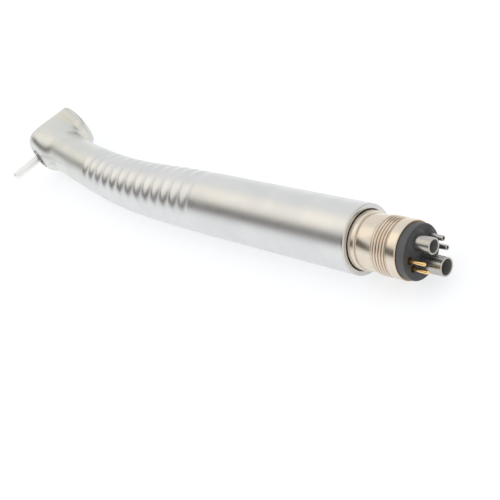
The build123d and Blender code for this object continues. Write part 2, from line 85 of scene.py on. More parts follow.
HEAD_RADIUS, HEAD_BOTTOM, HEAD_TOP, CAP_SEAM = 5.6, -5.1, 7.95, 5.2
HEAD_ROUNDING, NECK_BLEND = 2.9, 3.0
ROTOR_OPENING, SEAT_RADIUS, SEAT_FLOOR = 1.85, 3.75, -4.2
CHAMBER_RADIUS, CHAMBER_FLOOR, CAP_BORE, CAP_BORE_FLOOR = 4.6, -1.6, 4.85, 2.45
SPRAY_INNER, SPRAY_OUTER, SPRAY_DEPTH = 2.2, 2.9, 0.4
BUTTON_RADIUS, CAP_WEB_TOP, LIP_UNDERSIDE = 3.5, 5.6, 7.35
BUTTON_FLANGE, BUTTON_BOSS, BUTTON_DEPTH, CAP_POCKET, CAP_WEB_HOLE = 4.1, 0.95, 0.75, 4.2, 2.3
BUR_RADIUS, BUR_TOP, BUR_BODY_RADIUS, BUR_SHOULDER, BUR_TIP = 0.8, 3.0, 1.0, -5.3, -13.2
BUR_DOME, BUR_CHAMFER = 0.75, 0.2
SPRING_WIRE, SPRING_TURNS, SPRING_HEIGHT, SPRING_RADIUS = 0.1, 2, 0.62, 3.7
SPRING_CONE, SPRING_PRESSED, SPRING_GAP = 60, 0.2, 0.02

THREAD_START, THREAD_END, THREAD_PITCH, THREAD_DEPTH = -7.1, -3.7, 0.65, 0.3
THREAD_FLATS, THREAD_ROWS, THREAD_END_FADE, THREAD_SINK = (0.12, 0.86), 88, 1.5, 0.1
THREAD_RADIUS, BAND_RADIUS, NECK_BAND_RADIUS, NOSE_RADIUS = 5.65, 5.65, 5.35, 5.6
NOSE_END, BAND_FRONT, SHOULDER_X, CONNECTOR_BACK = -1.6, -10.95, -12.9, -25.4
CONNECTOR_BORE, MANIFOLD_RADIUS, MANIFOLD_BACK = 4.9, 4.6, -9.4
# The last width is that of the gasket's outer edge, which is painted lighter: painted light on its lit side.
GASKET_RADIUS, GASKET_BACK, GASKET_ROUNDING, LIT_RIM_WIDTH = 5.25, -1.59, 0.3, 0.12
BOSS_BACK, COLLAR_WIDTH, COLLAR_STEEPNESS, FIT = -3.19, 0.72, 7, 0.02

SMALL_TUBE = {"y": 3.2, "outer": 0.5, "root": 0.7, "inner": 0.3, "tip": 3.15}
TUBES = {
    "drive_air_tube": {
        "y": 0, "z": 2.45, "outer": 1.52, "root": 1.72, "inner": 1.2, "tip": 3.7, "collar": 0.45,
    },
    "exhaust_tube": {
        "y": 0, "z": -2.45, "outer": 1.8, "root": 1.96, "inner": 1.48, "tip": 4.6, "collar": 0.0,
    },
    "water_tube": {**SMALL_TUBE, "z": 1.15, "collar": 0.4},
    "chip_air_tube": {**SMALL_TUBE, "z": -1.15, "collar": 0.35},
}
PIN = {
    "y": -3.2, "z": 1.0, "outer": 0.38, "root": 0.2, "tip": 3.5, "nose": 0.55, "back": -14.4,
    "shoulder": -9.9, "sleeve": 0.7, "sleeve_back": -9.8, "sleeve_front": -0.06,
}
WINDOW = {
    "station": 97.0, "y": -3.0, "ahead": 2.4, "down": -5.0, "radius": 0.75, "start": 1.2,
    "sunk": 0.1, "dome": 0.12,
}

spin = next(joint for joint in frame["joints"] if joint["name"] == "rotor_spin")
HEAD = np.array(spin["pos_m"]) / MM
UP = np.array(spin["axis"]) / np.linalg.norm(spin["axis"])
REAR = np.array((UP[1], -UP[0], 0.0))
ALONG_X, ORIGIN = np.array((1.0, 0, 0)), np.zeros(3)


# ---- Mesh helpers -------------------------------------------------------------------------------

def shade(thing, sharp=35):
    """Smooth shading, except across edges sharper than the angle."""
    thing.data.shade_smooth()
    thing.data.set_sharp_from_angle(angle=radians(sharp))


def new_object(name, points, faces, sharp=35):
    """Object from points in millimetres, with its faces pointing outwards."""
    mesh = bpy.data.meshes.new(name)
    mesh.from_pydata((np.asarray(points) * MM).tolist(), [], [list(face) for face in faces])
    work = bmesh.new()
    work.from_mesh(mesh)
    bmesh.ops.remove_doubles(work, verts=work.verts, dist=1e-8)
    bmesh.ops.recalc_face_normals(work, faces=work.faces)
    work.to_mesh(mesh)
    work.free()
    thing = bpy.data.objects.new(name, mesh)
    bpy.context.collection.objects.link(thing)
    shade(thing, sharp)
    return thing


def rounded(corners, steps=6):
    """Closed outline through (x, y, radius) corners, with each corner turned into an arc."""
    outline = []
    for index, (x, y, radius) in enumerate(corners):
        corner = np.array((x, y), float)
        if radius <= 0:
            outline.append(corner)
            continue
        before = np.array(corners[index - 1][:2]) - corner
        after = np.array(corners[(index + 1) % len(corners)][:2]) - corner
        before, after = before / np.linalg.norm(before), after / np.linalg.norm(after)
        half = np.arccos(np.clip(before @ after, -1, 1)) / 2
        middle = corner + (before + after) / np.linalg.norm(before + after) * radius / np.sin(half)
        first = corner + before * radius / np.tan(half) - middle
        last = corner + after * radius / np.tan(half) - middle
        sweep = pi - 2 * half
        for share in np.linspace(0, 1, steps + 1):
            arm = np.sin((1 - share) * sweep) * first + np.sin(share * sweep) * last
            outline.append(middle + arm / np.sin(sweep))
    return outline


def loop_faces(rings):
    """Faces between rings of point numbers, where a ring of one point is a pole."""
    faces = []
    for ring, following in zip(rings, rings[1:]):
        count = max(len(ring), len(following))
        for step in range(count):
            nearer = (step + 1) % count
            corners = [ring[step % len(ring)], ring[nearer % len(ring)]]
            corners += [following[nearer % len(following)], following[step % len(following)]]
            corners = list(dict.fromkeys(corners))
            if len(corners) > 2:
                faces.append(corners)
    return faces


def turn(name, outline, origin=ORIGIN, axis=ALONG_X, segments=128, sharp=35, shape=None):
    """Solid turned about an axis: a closed outline of (radius, height), and shape(radius, height, angle)."""
    side = np.cross(axis, (0, 0, 1.0))
    side = side / np.linalg.norm(side)
    other = np.cross(side, axis)
    angles = np.arange(segments) * 2 * pi / segments
    circle = np.outer(np.cos(angles), side) + np.outer(np.sin(angles), other)
    points, rings = [], []
    for radius, height in outline:
        if radius < 1e-6:
            rings.append([len(points)])
            points.append(origin + height * axis)
            continue
        rings.append(list(range(len(points), len(points) + segments)))
        radii = shape(radius, height, angles) if shape else np.full(segments, radius)
        points.extend(origin + height * axis + radii[:, None] * circle)
    if len(rings[0]) > 1:
        rings.append(rings[0])
    return new_object(name, points, loop_faces(rings), sharp)


def cut(thing, cutters, sharp=35):
    """Subtract closed objects from a closed object, and delete them."""
    for cutter in cutters:
        step = thing.modifiers.new("cut", "BOOLEAN")
        step.operation, step.solver, step.object = "DIFFERENCE", "EXACT", cutter
    bpy.context.view_layer.update()
    made = bpy.data.meshes.new_from_object(thing.evaluated_get(bpy.context.evaluated_depsgraph_get()))
    thing.modifiers.clear()
    thing.data = made
    for cutter in cutters:
        bpy.data.objects.remove(cutter)
    shade(thing, sharp)


def skin(name, distance, low, high, pitch):
    """Smooth surface where distance(points) crosses zero, by surface nets on a regular grid."""
    axes = [np.arange(start, end + pitch, pitch) for start, end in zip(low, high)]
    shape = tuple(len(axis) for axis in axes)
    grid = np.stack(np.meshgrid(*axes, indexing="ij"), -1)
    inside = distance(grid.reshape(-1, 3)).reshape(shape) < 0
    cells = tuple(count - 1 for count in shape)
    filled = np.zeros(cells, int)
    for i, j, k in itertools.product((0, 1), repeat=3):
        filled += inside[i:i + cells[0], j:j + cells[1], k:k + cells[2]]
    active = (filled > 0) & (filled < 8)
    number = np.full(cells, -1)
    number[active] = np.arange(active.sum())
    points = grid[:-1, :-1, :-1][active] + pitch / 2
    for _ in range(4):
        points = points - pull(distance, points)
    faces = []
    for axis in range(3):
        others = [other for other in range(3) if other != axis]
        change = np.diff(inside, axis=axis)
        inner = [slice(None)] * 3
        for other in others:
            inner[other] = slice(1, -1)
        where = np.argwhere(change[tuple(inner)])
        where[:, others] += 1
        corners = []
        for first, second in ((0, 0), (1, 0), (1, 1), (0, 1)):
            cell = where.copy()
            cell[:, others[0]] -= first
            cell[:, others[1]] -= second
            corners.append(number[tuple(cell.T)])
        faces.extend(np.stack(corners, 1).tolist())
    return new_object(name, points, faces)


def pull(distance, points, step=0.01):
    """Step that takes points onto the surface along the distance's slope."""
    here = distance(points)
    slope = np.stack([distance(points + step * push) - here for push in np.eye(3)], 1) / step
    return slope * (here / (slope ** 2).sum(1).clip(0.05))[:, None]


def slice_off(thing, point, normal):
    """Cut a closed object flat with a plane, drop the side that the normal points to, and close it."""
    work = bmesh.new()
    work.from_mesh(thing.data)
    everything = list(work.verts) + list(work.edges) + list(work.faces)
    plane = {"plane_co": Vector(point) * MM, "plane_no": Vector(normal)}
    bmesh.ops.bisect_plane(work, geom=everything, dist=1e-8, clear_outer=True, **plane)
    bmesh.ops.holes_fill(work, edges=[edge for edge in work.edges if edge.is_boundary])
    bmesh.ops.recalc_face_normals(work, faces=work.faces)
    work.to_mesh(thing.data)
    work.free()


# ---- Centreline of the handle and neck ----------------------------------------------------------

def centreline(station):
    """Point and forward heading at a length from the rear lip."""
    x, y, heading, left = LIP_X, 0.0, pi, station
    for length, angle in [(HANDLE_RUN, 0.0), *BENDS, (station, 0.0)]:
        run = min(left, length)
        swept = radians(angle) * run / length if length else 0.0
        chord = run * (sin(swept / 2) / (swept / 2) if swept else 1.0)
        x += chord * cos(heading - swept / 2)
        y += chord * sin(heading - swept / 2)
        heading -= swept
        left -= run
    return (x, y, 0.0), (cos(heading), sin(heading), 0.0)


TRACK = np.arange(0, 125, 0.25)
PLACES = np.array([centreline(station)[0] for station in TRACK])
HEADINGS = np.array([centreline(station)[1] for station in TRACK])


def on_track(table, station):
    """Centreline point or heading at each station."""
    return np.stack([np.interp(station, TRACK, table[:, axis]) for axis in range(3)], -1)


def body_radius(station):
    """Outer radius of the handle and neck, with its corners eased over a few millimetres."""
    known = np.array(BODY_SECTIONS, float).T
    spread = np.linspace(-SECTION_EASE, SECTION_EASE, 9)
    return sum(np.interp(station + shift, *known) for shift in spread) / len(spread)


def neck_point(station, y, z):
    """Point at a station, offset from the centreline."""
    heading = on_track(HEADINGS, station)
    away = np.array((heading[1], -heading[0], 0.0))
    return on_track(PLACES, station) + y * away + z * np.array((0, 0, 1.0))


def groove_depth(station, flank, radius):
    """Depth of the finger grooves at an angle from mid flank: rings turned a little off centre."""
    run_out = 1 - cos(radians(GROOVE_HALF_ANGLE))
    shift = GROOVE_DEPTH * (2 * radius - GROOVE_DEPTH) / (2 * radius * run_out - 2 * GROOVE_DEPTH)
    ring = radius + shift - GROOVE_DEPTH
    cutter = (GROOVE_WIDTH ** 2 / 4 + GROOVE_DEPTH ** 2) / (2 * GROOVE_DEPTH)
    floor = radius - np.sqrt(ring ** 2 - (shift * np.sin(flank)) ** 2) + shift * np.cos(flank)
    number = np.clip(np.round((station - GROOVE_FIRST) / GROOVE_PITCH), 0, GROOVE_COUNT - 1)
    along = np.clip(abs(station - GROOVE_FIRST - number * GROOVE_PITCH), 0, cutter * 0.98)
    depth = floor - cutter + np.sqrt(cutter ** 2 - along ** 2)
    return (depth + np.sqrt(depth ** 2 + GROOVE_EDGE ** 2)) / 2


def swept_grid(name, rows, segments):
    """Closed tube round the centreline from rows of (station, radius per angle)."""
    angles = np.arange(segments) * 2 * pi / segments
    points, rings = [], []
    for station, radii in rows:
        heading = on_track(HEADINGS, station)
        away = np.array((heading[1], -heading[0], 0.0))
        circle = np.outer(np.cos(angles), (0, 0, 1.0)) + np.outer(np.sin(angles), -away)
        rings.append(list(range(len(points), len(points) + segments)))
        points.extend(on_track(PLACES, station) + (np.ones(segments) * radii)[:, None] * circle)
    return new_object(name, points, loop_faces([*rings, rings[0]]))


# ---- Pieces: handle, head and cap ---------------------------------------------------------------

def make_grip_shell(segments=216):
    """Handle shell: satin tube with rounded lip, taper, bend and finger grooves on both flanks."""
    angles = np.arange(segments) * 2 * pi / segments
    flank = np.minimum(angles, 2 * pi - angles)
    flank = np.minimum(flank, pi - flank)
    grooves_end = GROOVE_FIRST + GROOVE_COUNT * GROOVE_PITCH
    stations = np.concatenate((
        np.linspace(0.5, GROOVE_FIRST - 2, 40),
        np.arange(GROOVE_FIRST - 1.9, grooves_end, GROOVE_PITCH / 20),
        np.linspace(grooves_end + 0.1, SEAM_STATION, 5),
    ))
    rows = [(station, body_radius(station)) for station in stations]
    rows = [(station, radius - groove_depth(station, flank, radius)) for station, radius in rows]
    lip = body_radius(0.5)
    corners = [
        (lip, 0.49, 0), (lip, 0.0, LIP_ROUNDING * 1.6), (LIP_BORE, 0.0, LIP_ROUNDING * 0.6),
        (LIP_BORE, LIP_DEPTH, 0.05), (SHELL_BORE, LIP_DEPTH, 0),
    ]
    rounded_lip = [(height, radius) for radius, height in rounded(corners, 8)]
    step = SHELL_BORE_DEPTH
    bore = [(step, SHELL_BORE), (step, body_radius(step) - SHELL_WALL)]
    inner = np.linspace(step + 1, SEAM_STATION, 40)
    bore += [(station, body_radius(station) - SHELL_WALL) for station in inner]
    return swept_grid("grip_shell", rounded_lip[::-1] + rows + bore[::-1], segments)


def neck_distance(points):
    """Distance to the tapered neck."""
    station = LIP_X - points[:, 0]
    for _ in range(4):
        offset = points - on_track(PLACES, station)
        station = station + (offset * on_track(HEADINGS, station)).sum(1)
    offset = points - on_track(PLACES, station)
    beyond = station - np.linalg.norm(HEAD - neck_start) - SEAM_STATION
    return np.maximum(np.linalg.norm(offset, axis=1) - body_radius(station), beyond)


def head_distance(points):
    """Distance to the head's can, with its rounded bottom."""
    height = (points - HEAD) @ UP
    radius = np.hypot((points - HEAD) @ REAR, points[:, 2])
    out = radius - HEAD_RADIUS + HEAD_ROUNDING
    down = HEAD_BOTTOM + HEAD_ROUNDING - height
    corner = np.hypot(out.clip(0), down.clip(0)) + np.minimum(np.maximum(out, down), 0) - HEAD_ROUNDING
    return np.maximum(corner, height - HEAD_TOP)


def body_distance(points):
    """Head and neck run into one another with a soft fillet."""
    neck, head = neck_distance(points), head_distance(points)
    share = (0.5 + (head - neck) / (2 * NECK_BLEND)).clip(0, 1)
    return head + (neck - head) * share - NECK_BLEND * share * (1 - share)


neck_start = on_track(PLACES, SEAM_STATION)
window_bend = neck_point(WINDOW["station"], WINDOW["y"], 0)
window_aim = neck_point(WINDOW["station"] + WINDOW["ahead"], WINDOW["down"], 0) - window_bend
window_aim = window_aim / np.linalg.norm(window_aim)


def make_head(pitch=0.17):
    """Head housing with the front of the neck, cut for the rotor, spray ring, light window and pipes."""
    margin = HEAD_RADIUS + 1
    low = HEAD - np.array((margin + 1, margin, margin))
    high = neck_start + np.array((1.5, 0, margin))
    high[1] = HEAD[1] + HEAD_TOP + 1
    low[1] = -HEAD_RADIUS
    head = skin("head_and_neck", body_distance, low, high, pitch)
    slice_off(head, neck_start, -on_track(HEADINGS, SEAM_STATION))
    slice_off(head, HEAD + CAP_SEAM * UP, UP)
    bore = [
        (0, HEAD_BOTTOM - 1), (ROTOR_OPENING + 0.2, HEAD_BOTTOM - 1), (ROTOR_OPENING + 0.2, HEAD_BOTTOM),
        (ROTOR_OPENING, HEAD_BOTTOM + 0.2), (ROTOR_OPENING, SEAT_FLOOR), (SEAT_RADIUS, SEAT_FLOOR),
        (SEAT_RADIUS, CHAMBER_FLOOR), (CHAMBER_RADIUS, CHAMBER_FLOOR), (CHAMBER_RADIUS, CAP_BORE_FLOOR),
        (CAP_BORE, CAP_BORE_FLOOR), (CAP_BORE, CAP_SEAM + 1), (0, CAP_SEAM + 1),
    ]
    spray = [
        (SPRAY_INNER, HEAD_BOTTOM - 1), (SPRAY_OUTER, HEAD_BOTTOM - 1),
        (SPRAY_OUTER, HEAD_BOTTOM + SPRAY_DEPTH), (SPRAY_INNER, HEAD_BOTTOM + SPRAY_DEPTH),
    ]
    hole = [(0, -1), (WINDOW["radius"] + 0.05, -1), (WINDOW["radius"] + 0.05, 5), (0, 5)]
    stations = np.linspace(SEAM_STATION - 1, CAVITY_END, 24)
    cavity = [(station, body_radius(station) - SHELL_WALL) for station in stations]
    cavity = [(cavity[0][0], 0.001), *cavity, (cavity[-1][0], 0.001)]
    cut(head, [
        turn("bore_cutter", bore, HEAD, UP),
        turn("spray_cutter", spray, HEAD, UP),
        turn("hole_cutter", hole, window_bend, window_aim, 48),
        swept_grid("cavity_cutter", cavity, 96),
    ])
    return head


def make_back_cap():
    """Screw cap with a rounded rim, a shallow key groove and a lip that holds the push button."""
    web, lip_radius = CAP_WEB_TOP, BUTTON_RADIUS + 0.1
    corners = [
        (SEAT_RADIUS, CAP_BORE_FLOOR + 0.35, 0), (CAP_BORE - 0.02, CAP_BORE_FLOOR + 0.35, 0.08),
        (CAP_BORE - 0.02, CAP_SEAM + 0.02, 0), (HEAD_RADIUS, CAP_SEAM + 0.02, 0.07),
        (HEAD_RADIUS, HEAD_TOP - 1.25, 0.12), (HEAD_RADIUS - 0.08, HEAD_TOP - 1.15, 0.05),
        (HEAD_RADIUS - 0.08, HEAD_TOP - 0.95, 0.05), (HEAD_RADIUS, HEAD_TOP - 0.85, 0.04),
        (HEAD_RADIUS - 0.03, HEAD_TOP, 0.85),
        (lip_radius, HEAD_TOP, 0.15), (lip_radius, LIP_UNDERSIDE, 0), (CAP_POCKET, LIP_UNDERSIDE, 0),
        (CAP_POCKET, web, 0), (CAP_WEB_HOLE, web, 0), (CAP_WEB_HOLE, CAP_SEAM + 0.05, 0),
        (SEAT_RADIUS, CAP_SEAM + 0.05, 0),
    ]
    return turn("screw_cap", rounded(corners, 8), HEAD, UP, 192)


def make_push_button():
    """Push button: a dished face inside a raised rim, with the flange and boss under it."""
    top = HEAD_TOP - 0.05
    dish = [(0, top - 0.32), (0.9, top - 0.3), (1.8, top - 0.23), (2.5, top - 0.12)]
    flange_top, flange_base = LIP_UNDERSIDE - 0.05, LIP_UNDERSIDE - BUTTON_DEPTH
    rim = rounded([
        (2.72, top - 0.06, 0), (2.85, top, 0.1), (BUTTON_RADIUS, top, 0.25), (BUTTON_RADIUS, flange_top, 0),
    ])
    under = [(BUTTON_FLANGE, flange_top), (BUTTON_FLANGE, flange_base), (BUTTON_BOSS, flange_base)]
    under += [(BUTTON_BOSS, 5.6), (BUTTON_BOSS - 0.1, 5.5), (0, 5.5)]
    return turn("button_disc", dish + rim + under, HEAD, UP, 160)


def make_bur():
    """Plain bur blank: rounded end, thick body and a chamfered shank in the chuck."""
    corners = [
        (BUR_BODY_RADIUS, BUR_TIP, BUR_DOME), (BUR_BODY_RADIUS, BUR_SHOULDER, 0.12),
        (BUR_RADIUS, BUR_SHOULDER, 0.0), (BUR_RADIUS, BUR_TOP - BUR_CHAMFER, 0),
        (BUR_RADIUS - BUR_CHAMFER, BUR_TOP, 0),
    ]
    outline = [(0, BUR_TIP), *rounded([(0.01, BUR_TIP, 0), *corners], 10), (0, BUR_TOP)]
    return turn("bur_pin", outline, HEAD, UP, 64)


def make_spring(steps=96, sides=12):
    """Conical wire spring between the cap's web and the push button."""
    across = np.cross(UP, REAR)
    round_wire = np.arange(sides) * 2 * pi / sides
    points, numbers = [], []
    for turned in np.linspace(0, SPRING_TURNS, SPRING_TURNS * steps + 1):
        rise = SPRING_HEIGHT * turned / SPRING_TURNS
        radius = SPRING_RADIUS - rise * tan(radians(SPRING_CONE))
        outward = cos(2 * pi * turned) * REAR + sin(2 * pi * turned) * across
        middle = HEAD + (CAP_WEB_TOP + SPRING_WIRE + SPRING_GAP + rise) * UP + radius * outward
        numbers.append(list(range(len(points), len(points) + sides)))
        wall = np.outer(np.cos(round_wire), outward) + np.outer(np.sin(round_wire), UP)
        points.extend(middle + SPRING_WIRE * wall)
        last = middle
    first = HEAD + (CAP_WEB_TOP + SPRING_WIRE + SPRING_GAP) * UP + SPRING_RADIUS * REAR
    numbers = [[len(points)], *numbers, [len(points) + 1]]
    return new_object("cap_spring", [*points, first, last], loop_faces(numbers))


def make_light_window():
    """Small domed lens in the neck's underside, flush with the skin where the light leaves."""
    reach = np.linspace(0, 6, 601)
    line = window_bend + reach[:, None] * window_aim
    surface = reach[np.argmax(body_distance(line) > 0)]
    radius, start = WINDOW["radius"], WINDOW["start"]
    rim = surface - WINDOW["sunk"]
    lifts = np.linspace(0, pi / 2, 8)
    dome = [(radius * cos(lift), rim + WINDOW["dome"] * sin(lift)) for lift in lifts]
    outline = [(0, start), (radius, start), *dome[:-1], (0, dome[-1][1])]
    return turn("window_lens", outline, window_bend, window_aim, 48)


# ---- Pieces: coupling end -----------------------------------------------------------------------

def make_connector():
    """Connector: two bands, a helical thread and the nose behind the gasket."""
    ridges = np.linspace(THREAD_START, THREAD_END, THREAD_ROWS)[1:-1]
    corners = [
        (MANIFOLD_RADIUS + FIT, NOSE_END, 0), (NOSE_RADIUS - 0.02, NOSE_END, 0.22),
        (NOSE_RADIUS, THREAD_END + 0.12, 0), (NOSE_RADIUS - 0.14, THREAD_END + 0.06, 0),
        (NOSE_RADIUS - 0.14, THREAD_END, 0),
    ]
    outline = rounded(corners)
    outline += [(THREAD_RADIUS, x) for x in ridges[::-1]]
    corners = [
        (NECK_BAND_RADIUS, THREAD_START, 0.05), (NECK_BAND_RADIUS, BAND_FRONT + 0.3, 0.05),
        (NECK_BAND_RADIUS - 0.12, BAND_FRONT + 0.22, 0.03),
        (NECK_BAND_RADIUS - 0.12, BAND_FRONT + 0.04, 0.03),
        (BAND_RADIUS, BAND_FRONT, 0.14), (BAND_RADIUS, SHOULDER_X, 0.0),
        (SHELL_BORE - FIT, SHOULDER_X, 0), (SHELL_BORE - FIT, CONNECTOR_BACK, 0.2),
        (CONNECTOR_BORE, CONNECTOR_BACK, 0.2), (CONNECTOR_BORE, MANIFOLD_BACK, 0),
        (MANIFOLD_RADIUS + FIT, MANIFOLD_BACK, 0),
    ]
    outline += rounded(corners, 4)

    def helix(radius, x, angles):
        """Radius at each angle: a helical groove between the thread's ends, plain elsewhere."""
        if radius != THREAD_RADIUS or not THREAD_START < x < THREAD_END:
            return np.full(len(angles), radius)
        phase = ((x - THREAD_START) / THREAD_PITCH - angles / (2 * pi)) % 1
        ridge = abs(2 * phase - 1).clip(*THREAD_FLATS)
        fade = np.clip(min(x - THREAD_START, (THREAD_END - x) * THREAD_END_FADE) / THREAD_PITCH, 0, 1)
        return radius - THREAD_DEPTH * (1 - ridge) * fade - (1 - fade) * THREAD_SINK

    return turn("coupling_body", outline, segments=192, sharp=28, shape=helix)


def make_gasket():
    """Rubber gasket: rounded disc, with soft collars that grip the tubes."""
    flat, segments = GASKET_RADIUS - GASKET_ROUNDING, 256
    edge_radii = flat + GASKET_ROUNDING * np.sin(np.linspace(0.15, pi / 2, 8))
    rings = np.concatenate((np.linspace(0.05, flat, 64), edge_radii))
    angles = np.arange(segments) * 2 * pi / segments
    points, numbers = [np.array((0.0, 0, 0))], [[0]]
    for radius in rings:
        y, z = radius * np.cos(angles), radius * np.sin(angles)
        edge = max(radius - GASKET_RADIUS + GASKET_ROUNDING, 0)
        x = np.full(segments, np.sqrt(max(GASKET_ROUNDING ** 2 - edge ** 2, 0)) - GASKET_ROUNDING)
        for tube in TUBES.values():
            wall = np.hypot(y - tube["y"], z - tube["z"]) - tube["outer"]
            x += tube["collar"] / (1 + (wall.clip(0) / COLLAR_WIDTH) ** COLLAR_STEEPNESS) * (edge == 0)
        numbers.append(list(range(len(points), len(points) + segments)))
        points.extend(np.stack((x, y, z), 1))
    back = ((GASKET_RADIUS, GASKET_BACK), (MANIFOLD_RADIUS, GASKET_BACK), (MANIFOLD_RADIUS, BOSS_BACK))
    for radius, x in back:
        numbers.append(list(range(len(points), len(points) + segments)))
        y, z = radius * np.cos(angles), radius * np.sin(angles)
        points.extend(np.stack((np.full(segments, x), y, z), 1))
    numbers.append([len(points)])
    points.append(np.array((BOSS_BACK, 0, 0)))
    gasket = new_object("rubber_gasket", points, loop_faces(numbers))
    drills = [(tube["y"], tube["z"], tube["outer"] + 0.01) for tube in TUBES.values()]
    drills += [(PIN["y"], side * PIN["z"], PIN["sleeve"] + FIT) for side in (1, -1)]
    cutters = []
    for y, z, radius in drills:
        outline = [(0, BOSS_BACK - 1), (radius, BOSS_BACK - 1), (radius, 2), (0, 2)]
        cutters.append(turn("drill", outline, np.array((0, y, z)), segments=64))
    cut(gasket, cutters)
    return gasket


def make_tube(name, tube):
    """Steel tube with a burnished, rounded mouth."""
    wall = tube["outer"] - tube["inner"]
    corners = [
        (tube["inner"], MANIFOLD_BACK, 0), (tube["root"], MANIFOLD_BACK, 0),
        (tube["root"], BOSS_BACK - 0.01, 0), (tube["outer"], BOSS_BACK - 0.01, 0),
        (tube["outer"], tube["tip"], wall * 0.42), (tube["inner"], tube["tip"], wall * 0.42),
    ]
    middle = np.array((0, tube["y"], tube["z"]))
    return turn(name + "_stub", rounded(corners, 8), middle, segments=96)


def make_pin(number, side):
    """Gold contact pin with a bullet nose."""
    radius, nose, shoulder = PIN["outer"], PIN["nose"], PIN["shoulder"]
    lifts = np.linspace(0, pi / 2, 12)
    tip = [(radius * cos(lift), PIN["tip"] - nose + nose * sin(lift)) for lift in lifts]
    root = [(0, PIN["back"]), (PIN["root"], PIN["back"]), (PIN["root"], shoulder), (radius, shoulder)]
    outline = [*root, *tip[:-1], (0, PIN["tip"])]
    return turn(f"contact_{number}", outline, np.array((0, PIN["y"], side * PIN["z"])), segments=48)


def make_sleeve(number, side):
    """Recessed sleeve round a contact pin, slightly dished at its mouth."""
    outer, inner = PIN["sleeve"], PIN["outer"] + FIT
    back, front = PIN["sleeve_back"], PIN["sleeve_front"]
    corners = [
        (inner, back, 0), (outer, back, 0), (outer, front, 0.05), (outer - 0.12, front, 0.04),
        (inner, -0.3, 0),
    ]
    middle = np.array((0, PIN["y"], side * PIN["z"]))
    return turn(f"contact_socket_{number}", rounded(corners), middle, segments=48)


def make_lip_seal():
    """Dark ring that fills the gap between the shell's lip and the connector."""
    inner, outer = BAND_RADIUS + FIT, SHELL_BORE - FIT
    front, back = LIP_X - LIP_DEPTH - FIT, SHOULDER_X + 0.01
    corners = [(inner, back, 0), (outer, back, 0), (outer, front, 0.04), (inner, front, 0.06)]
    return turn("lip_seal", rounded(corners), segments=160)


# ---- Materials ----------------------------------------------------------------------------------

def node(material, kind, **settings):
    """New shader node, with plain settings and input values."""
    made = material.node_tree.nodes.new(kind)
    for name, value in settings.items():
        if hasattr(made, name):
            setattr(made, name, value)
        else:
            made.inputs[name.replace("_", " ")].default_value = value
    return made


def link(material, source, target):
    """Join two sockets of a material."""
    material.node_tree.links.new(source, target)


def remap(material, source, low, high, new_low, new_high):
    """Map a value from one range to another, smoothly."""
    made = node(material, "ShaderNodeMapRange", interpolation_type="SMOOTHSTEP")
    for name, value in (("From Min", low), ("From Max", high), ("To Min", new_low), ("To Max", new_high)):
        made.inputs[name].default_value = value
    link(material, source, made.inputs["Value"])
    return made.outputs["Result"]


def blend_colours(material, share, first, second):
    """Colour between two colours or colour sockets, by a share socket."""
    made = node(material, "ShaderNodeMix", data_type="RGBA")
    link(material, share, made.inputs["Factor"])
    for socket, colour in ((made.inputs["A"], first), (made.inputs["B"], second)):
        socket = next(s for s in made.inputs if s.name == socket.name and s.type == "RGBA")
        if isinstance(colour, tuple):
            socket.default_value = (*colour, 1)
        else:
            link(material, colour, socket)
    return next(s for s in made.outputs if s.type == "RGBA")


def noise(material, size, stretch=(1, 1, 1), detail=3.0, rough=0.5):
    """Noise in object space whose grain is about size millimetres, longer along stretched axes."""
    where = node(material, "ShaderNodeTexCoord")
    place = node(material, "ShaderNodeMapping")
    place.inputs["Scale"].default_value = [1 / (size * MM * share) for share in stretch]
    link(material, where.outputs["Object"], place.inputs["Vector"])
    made = node(material, "ShaderNodeTexNoise", Scale=1.0, Detail=detail, Roughness=rough)
    link(material, place.outputs["Vector"], made.inputs["Vector"])
    return made.outputs["Fac"]


def head_height(material):
    """Height above the neck's centreline along the head's axis, in millimetres."""
    where = node(material, "ShaderNodeTexCoord")
    along = node(material, "ShaderNodeVectorMath", operation="DOT_PRODUCT")
    link(material, where.outputs["Object"], along.inputs[0])
    along.inputs[1].default_value = list(UP / MM)
    level = node(material, "ShaderNodeMath", operation="SUBTRACT")
    link(material, along.outputs["Value"], level.inputs[0])
    level.inputs[1].default_value = float(HEAD @ UP)
    return level.outputs["Value"]


def head_spread(material):
    """Distance from the head's axis, in millimetres."""
    where = node(material, "ShaderNodeTexCoord")
    apart = node(material, "ShaderNodeVectorMath", operation="SUBTRACT")
    link(material, where.outputs["Object"], apart.inputs[0])
    apart.inputs[1].default_value = list(HEAD * MM)
    across = node(material, "ShaderNodeVectorMath", operation="CROSS_PRODUCT")
    link(material, apart.outputs["Vector"], across.inputs[0])
    across.inputs[1].default_value = list(UP / MM)
    length = node(material, "ShaderNodeVectorMath", operation="LENGTH")
    link(material, across.outputs["Vector"], length.inputs[0])
    return length.outputs["Value"]


def thread_root_shade(material):
    """Mask for painted shade: 1 in the roots of the coupling's thread and 0 elsewhere."""
    where = node(material, "ShaderNodeTexCoord")
    parts = node(material, "ShaderNodeSeparateXYZ")
    link(material, where.outputs["Object"], parts.inputs["Vector"])
    across = node(material, "ShaderNodeCombineXYZ")
    link(material, parts.outputs["Y"], across.inputs["Y"])
    link(material, parts.outputs["Z"], across.inputs["Z"])
    radius = node(material, "ShaderNodeVectorMath", operation="LENGTH")
    link(material, across.outputs["Vector"], radius.inputs[0])
    root, crest = (THREAD_RADIUS - THREAD_DEPTH) * MM, (THREAD_RADIUS - 0.06) * MM
    deep = remap(material, radius.outputs["Value"], crest, root, 0, 1)
    start = THREAD_START * MM
    ahead = remap(material, parts.outputs["X"], start, start + 0.03 * MM, 0, 1)
    both = node(material, "ShaderNodeMath", operation="MULTIPLY")
    link(material, deep, both.inputs[0])
    link(material, ahead, both.inputs[1])
    return both.outputs["Value"]


